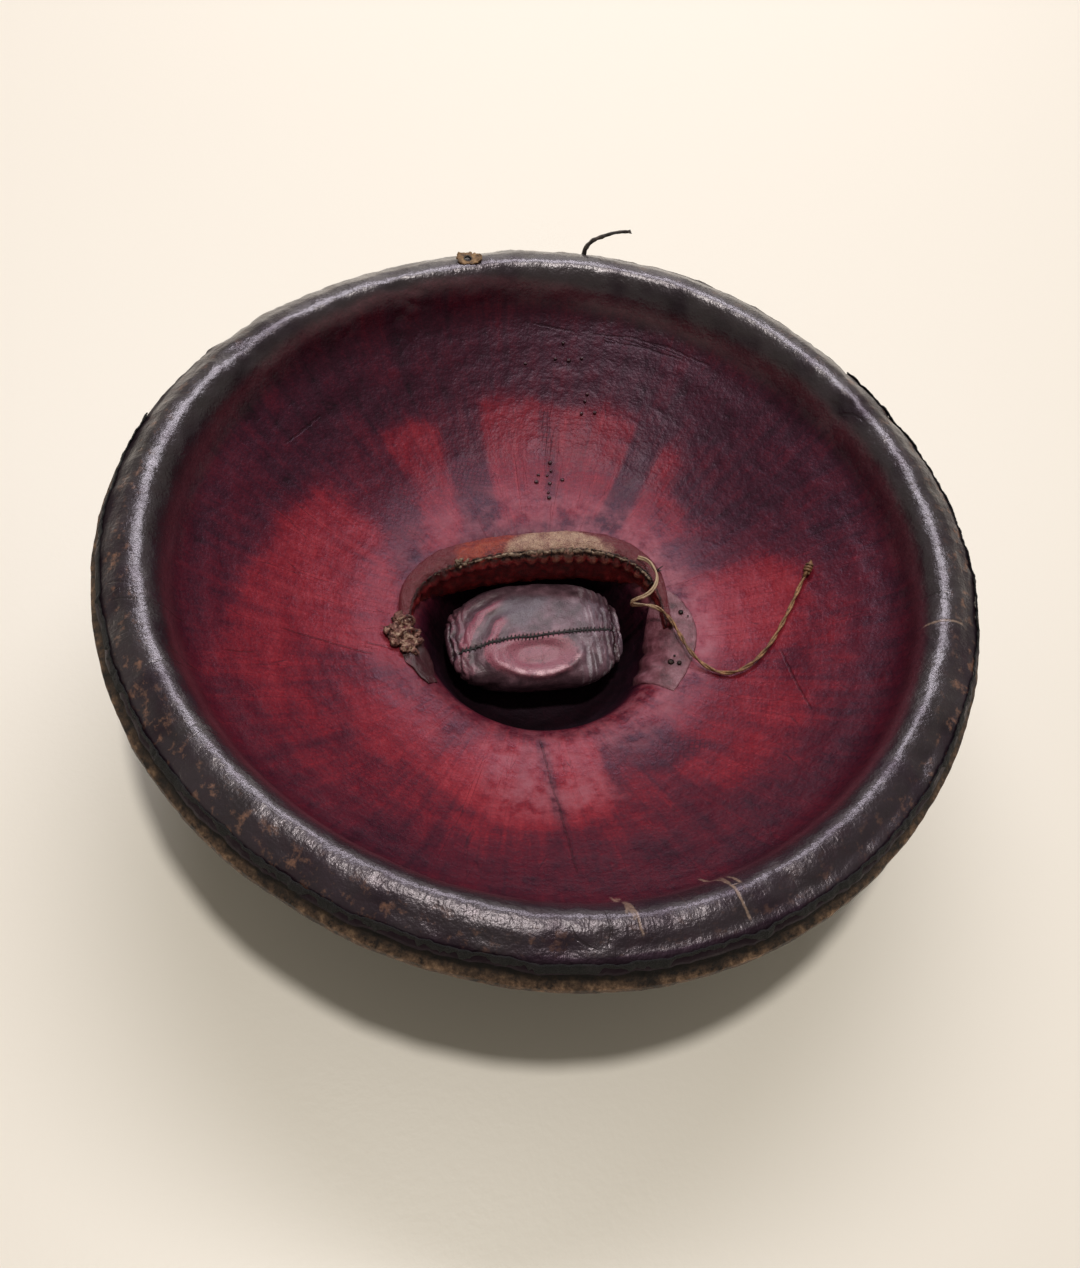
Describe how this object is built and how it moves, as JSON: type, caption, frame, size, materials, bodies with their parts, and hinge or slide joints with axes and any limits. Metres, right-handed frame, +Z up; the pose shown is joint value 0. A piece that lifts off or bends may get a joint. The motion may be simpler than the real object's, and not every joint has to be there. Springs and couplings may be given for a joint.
{
  "type": "hide shield",
  "caption": "Round thick-hide shield lying on its front boss: dished back with red leather lining, rolled rim, arched leather grip, stuffed pad in the central well.",
  "frame": {"origin": "middle of the small flat spot under the front boss, on the surface that the shield lies on", "axes": "+Z up, square to the rim and out of the hollow back; X along the arched grip, foot to foot; +Y towards the side that the grip lies back against"},
  "size_m": [0.5243, 0.522, 0.1665],
  "materials": {
    "raw_hide": "thick sun-dried hide, dark brown-black and smoked, worn brown on the cut edge",
    "red_lining": "thin red-dyed leather, hand-burnished, darkened to purple-black and glossy on the rolled rim",
    "grip_leather": "red leather over a stout core, edge-stitched, worn to tan on top",
    "pad_leather": "soft pink-grey leather, stuffed, with a black stitched seam",
    "tan_thong": "twisted raw hide thong, dry and tan",
    "dark_thong": "dried stiff hide thong, grey-black"
  },
  "bodies": {
    "root": {"hide_shell": "raw_hide", "back_lining": "red_lining", "arched_grip": "grip_leather", "well_pad": "pad_leather", "grip_thong": "tan_thong", "grip_thong_knot": "tan_thong", "left_foot_tie": "tan_thong", "rim_thong": "dark_thong", "rim_tab": "tan_thong"}
  },
  "joints": []
}
